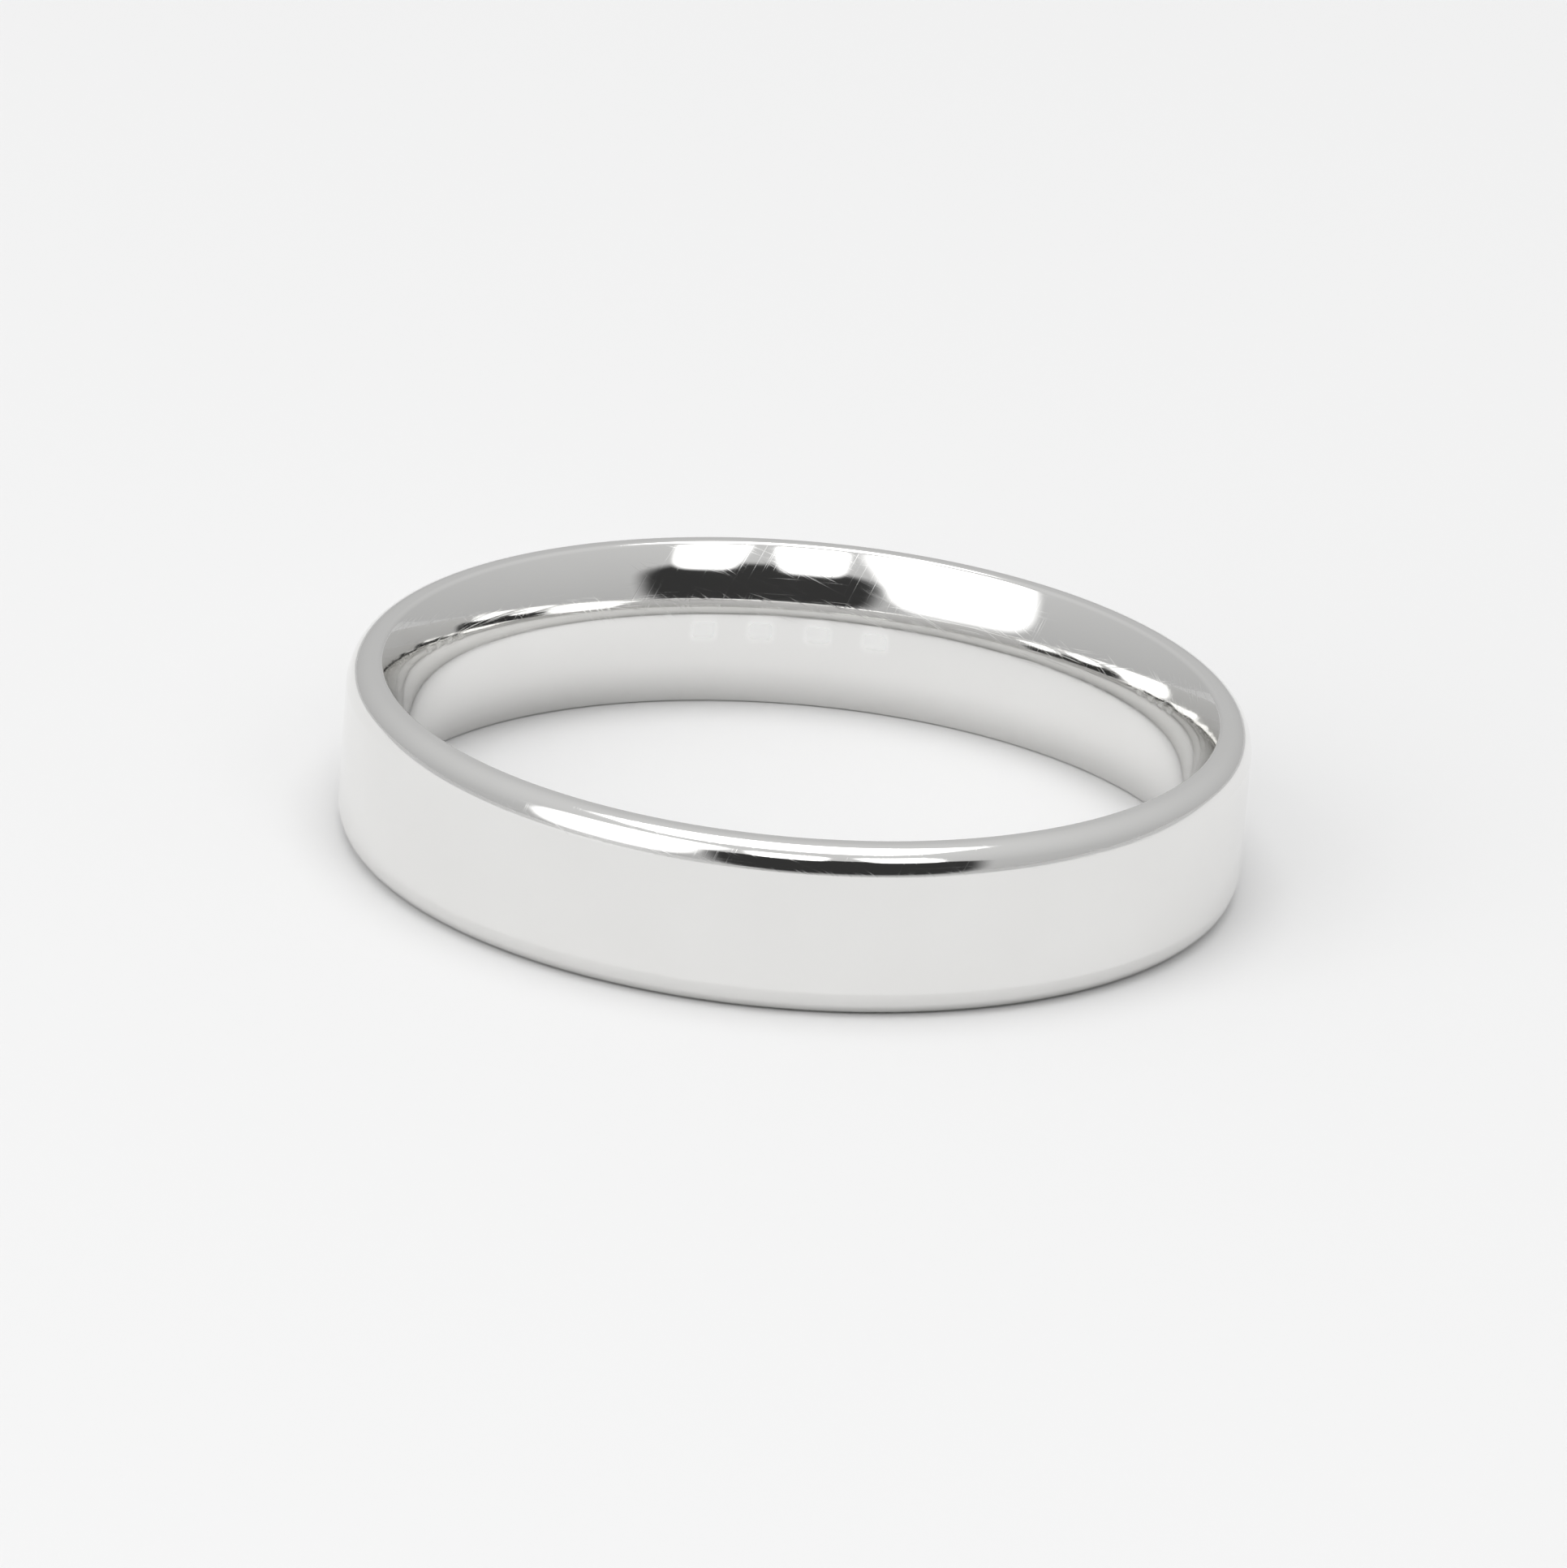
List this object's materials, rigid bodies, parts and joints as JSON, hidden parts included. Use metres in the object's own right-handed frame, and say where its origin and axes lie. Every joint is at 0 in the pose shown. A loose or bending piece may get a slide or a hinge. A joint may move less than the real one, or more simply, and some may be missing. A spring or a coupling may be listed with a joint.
{
  "type": "wedding band",
  "caption": "Plain flat court wedding band: a seamless ring with a flat polished outside, a domed comfort-fit inside and soft rounded edges.",
  "frame": {"origin": "centre of the ring on its lower side face, the face it lies on", "axes": "+Z along the ring's axis, up through the finger hole; +Y towards the wall that carries the blank punch marks inside"},
  "size_m": [0.0208, 0.0208, 0.004],
  "materials": {
    "white_metal": "high mirror polish with fine wear scratches"
  },
  "bodies": {
    "root": {"band": "white_metal"}
  },
  "joints": []
}
